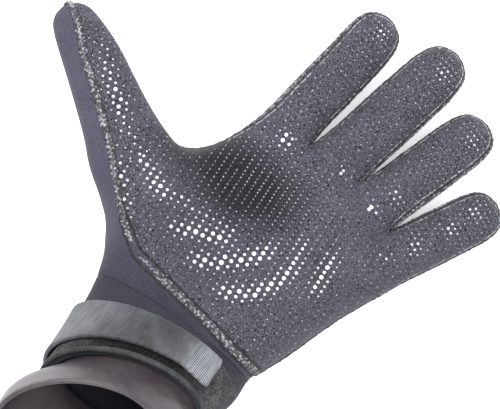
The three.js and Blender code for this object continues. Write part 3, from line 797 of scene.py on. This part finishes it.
# grip dots on the palm side
grip = {
    "acrossPitch": 3.5, "alongPitch": 2.65, "turn": 13, "least": 0.37, "most": 1.2, "bandReach": 4.1,
    "palmMissed": 0.1, "fingerMissed": 0.2, "seamClear": 2.5, "glintReach": 3.6, "drawnHeight": 12,
    "thickSpread": (0.84, 1.06), "sizeSpread": (0.76, 1.15), "sunk": 0.05, "height": (0.24, 0.3),
    "tone": {"thick": 1.15, "hollow": 0.3, "loose": (-0.1, 0.35)},
    # the palm's hollow: dots drawn together, dimmer as painted shade, with dark spots beside them
    # painted as the dots' shadows
    "hollow": {"middle": (-2, 8), "reach": 30, "along": 0.36, "across": 0.03, "growth": 0.04, "shadeDim": 0.6,
               "dotShadow": (0.62, 0.42), "dotShadowAhead": (0.75, 1.05), "dotShadowInside": 0.35, "dotShadowThick": 0.3},
    # dark spots beside most finger dots, painted as the dots' shadows
    "fingerDotShadow": {"share": 0.75, "ahead": (1.0, 1.5), "size": (0.42, 0.34)},
    # each band: points in the plan and how large the dots are there
    "bands": [
        [(-101, 1, 0.3), (-93, -3, 0.5), (-84, -8, 0.65), (-75, -12, 0.7), (-66, -17, 0.45),
         (-58, -20, 0.4), (-48, -22, 0.6), (-35, -25.4, 0.9), (-27, -23, 0.5), (-20, -21, 0.5),
         (-14, -19.5, 0.4), (-5, -18, 0.3), (2, -16, 0.5)],
        [(-68, -28, 0.35), (-60, -31, 0.55), (-52, -35, 0.65), (-46, -39, 0.55), (-38, -43, 0.35)],
        [(-16, -32, 1), (-10, -28, 1), (-5, -25, 1), (0, -22, 1), (4, -19, 0.9)],
        [(0, -36, 0.9), (8, -31, 1), (13, -25, 1), (17, -19, 1), (20, -13, 0.9), (22, -8, 0.7)],
        [(20, -38, 0.8), (26, -33, 1), (31, -27, 1), (34, -20, 0.9), (35.5, -13, 0.9), (35.5, -7, 0.8),
         (34, -2, 0.7), (31, 4, 0.5)],
        [(49, -5, 0.7), (48, 0, 0.8), (46.5, 5, 0.8), (44.5, 10, 0.6)],
    ],
    # little groups of larger, whiter dots at the finger roots and tips, painted highlights where the
    # light glints: middle and how large the dots are there
    "glintClusters": [(-10, 33, 1.0), (19, 40, 0.6), (42, 39, 0.7), (45, 52, 0.45), (69, 42, 0.55),
                 (61, 29, 0.45), (74, 60, 0.6), (76, 74, 0.45), (-15, 100, 0.4), (19, 108, 0.42),
                 (52, 96, 0.4)],
}
gather = grip["hollow"]
seamTree = treeOf([seamFrame[0] for seamFrame in seamFrames])


def toPlan(point):  # back to the glove's plan, drawn in for height above the table
    distance = view["height"] * 1000
    reach = (distance - grip["drawnHeight"]) / (distance - point.z * 1000)
    return (point.x - aimPoint.x) * 1000 * reach, (point.y - aimPoint.y) * 1000 * reach


def bandSize(x, y, line):
    best = 0.0
    for (ax, ay, aSize), (bx, by, bSize) in zip(line, line[1:]):
        length = (bx - ax) ** 2 + (by - ay) ** 2
        t = max(0.0, min(1.0, ((x - ax) * (bx - ax) + (y - ay) * (by - ay)) / length))
        away = math.hypot(x - ax - (bx - ax) * t, y - ay - (by - ay) * t)
        best = max(best, (aSize + (bSize - aSize) * t) * math.exp(-(away / grip["bandReach"]) ** 2))
    return best


def dotThickness(x, y):
    groups = [size * math.exp(-(math.hypot(x - cx, y - cy) / grip["glintReach"]) ** 2)
              for cx, cy, size in grip["glintClusters"]]
    return max([bandSize(x, y, line) for line in grip["bands"]] + groups)


turn = math.radians(grip["turn"])
rowX, rowY = Vector((math.cos(turn), math.sin(turn))), Vector((-math.sin(turn), math.cos(turn)))
rowAlong = rowY.to_3d()
dotPlaces, dotTones = [], []


def addDot(point, normal, fingerAxis=None):
    if seamTree.find(point)[2] < grip["seamClear"] * mm:
        return
    x, y = toPlan(point)
    thick = dotThickness(x, y)
    away = math.hypot(x - gather["middle"][0], y - gather["middle"][1])
    hollow = math.exp(-(away / gather["reach"]) ** 4)
    missed = grip["fingerMissed"] if fingerAxis else grip["palmMissed"]
    if chance.random() < missed * (1 - hollow) * max(0.0, 1 - 3 * thick):
        return
    thick *= chance.uniform(*grip["thickSpread"])
    radius = (grip["least"] + (grip["most"] - grip["least"]) * thick + gather["growth"] * hollow)
    radius *= chance.uniform(*grip["sizeSpread"]) * mm
    side = normal.orthogonal().normalized()
    height = (grip["height"][0] + grip["height"][1] * thick) * mm
    dotPlaces.append((point - normal * grip["sunk"] * mm, side * radius, normal.cross(side) * radius,
                      normal * height))
    tone = grip["tone"]
    # larger dots are drawn whiter, partly the print and partly painted glint; small dots in the hollow
    # are dimmed as painted shade
    bright = thick * tone["thick"] + tone["hollow"] * hollow + chance.uniform(*tone["loose"])
    dotTones.append(max(0.0, min(1.0, bright)) * (1 - gather["shadeDim"] * hollow * max(0.0, 1 - 2 * thick)))
    # a painted shadow beside each small dot in the hollow
    if fingerAxis is None and hollow > gather["dotShadowInside"] and thick < gather["dotShadowThick"]:
        addHoleOrShadow(point + rowAlong * chance.uniform(*gather["dotShadowAhead"]) * mm, rowAlong, *gather["dotShadow"])
    # a painted shadow beside most finger dots
    dotShadow = grip["fingerDotShadow"]
    if fingerAxis is not None and chance.random() < dotShadow["share"]:
        addHoleOrShadow(point + fingerAxis * chance.uniform(*dotShadow["ahead"]) * mm, fingerAxis, *dotShadow["size"])


# palm: rows in the plan, gathered towards the hollow, dropped onto the cloth
palmRows = {"count": 40, "left": -52, "wristEnd": -60, "fingerEnd": 36, "slope": 0.1, "bendAt": 20,
            "bend": -1.2, "above": 120, "facing": 0.3, "lowest": 0.012}
for i in range(-palmRows["count"], palmRows["count"] + 1):
    for k in range(-palmRows["count"], palmRows["count"] + 1):
        flat = rowX * i * grip["acrossPitch"] + rowY * k * grip["alongPitch"]
        away = flat - Vector(gather["middle"])
        pull = math.exp(-(away.length / gather["reach"]) ** 2)
        flat -= (rowX * away.dot(rowX) * gather["across"] * pull
                 + rowY * away.dot(rowY) * gather["along"] * pull)
        x, y = flat
        slope = palmRows["slope"] * x * (1 if x < palmRows["bendAt"] else palmRows["bend"])
        if x < palmRows["left"] or y > palmRows["fingerEnd"] + slope or y < palmRows["wristEnd"]:
            continue
        hit, normal, face, gap = palmTree.ray_cast(plan(x, y, palmRows["above"]), Vector((0, 0, -1)))
        if hit and normal.z > palmRows["facing"] and hit.z > palmRows["lowest"]:
            addDot(hit, normal)

# fingers and thumb: rings of dots round an axis, from root to tip
digits = [
    {"root": (-14.2, 36, 12), "tip": (-16, 107, 11)},
    {"root": (15.4, 40, 12), "tip": (17.2, 118, 11)},
    {"root": (43.2, 39, 12), "tip": (50.3, 105, 11)},
    {"root": (65, 30, 11), "tip": (80.8, 82, 10)},
    {"root": (-53, -24.5, 17), "tip": (-126, 0.5, 18)},
]
ring = {"reach": 0.99, "radius": 12.5, "count": 9, "shift": 0.35, "widest": 1.9, "outward": 0.2,
        "walls": 3, "rayLength": 0.03, "past": 0.0001}
for digit in digits:
    root, tip = plan(*digit["root"]), plan(*digit["tip"])
    axis = (tip - root).normalized()
    length = (tip - root).length
    side = axis.cross(Vector((0, 0, 1))).normalized()
    up = side.cross(axis)
    rows = int(length * ring["reach"] / (grip["alongPitch"] * mm))
    for row in range(rows + 1):
        middle = root + axis * row * grip["alongPitch"] * mm
        shift = ring["shift"] if row % 2 else 0.0
        for k in range(-ring["count"], ring["count"] + 1):
            angle = (k + shift) * grip["acrossPitch"] / ring["radius"]
            ray = (up * math.cos(angle) + side * math.sin(angle)).normalized()
            start = middle
            for attempt in range(ring["walls"]):  # past the cloth's inner face to its outer one
                hit, normal, face, gap = palmTree.ray_cast(start, ray, ring["rayLength"])
                if hit is None or normal.dot(ray) > ring["outward"]:
                    break
                start = hit + ray * ring["past"]
            if hit is not None and normal.dot(ray) > ring["outward"] and abs(angle) < ring["widest"]:
                addDot(hit, normal, axis)
dotShape = lumpShape(segments=8, rings=6, keepAbove=-0.05)
gripDots = scatterLumps("gripDots", dotShape, dotPlaces, dotTones)
finishPiece(gripDots, dotRubber)
# needle holes and the painted shadows of the grip dots
holesAndDotShadows = scatterLumps("holesAndDotShadows", holeOrShadowShape, holeAndShadowPlaces, [chance.random() for place in holeAndShadowPlaces])
finishPiece(holesAndDotShadows, holeAndShadowCloth)
print("stage: grip dots,", len(dotPlaces), "holes,", len(holeAndShadowPlaces))
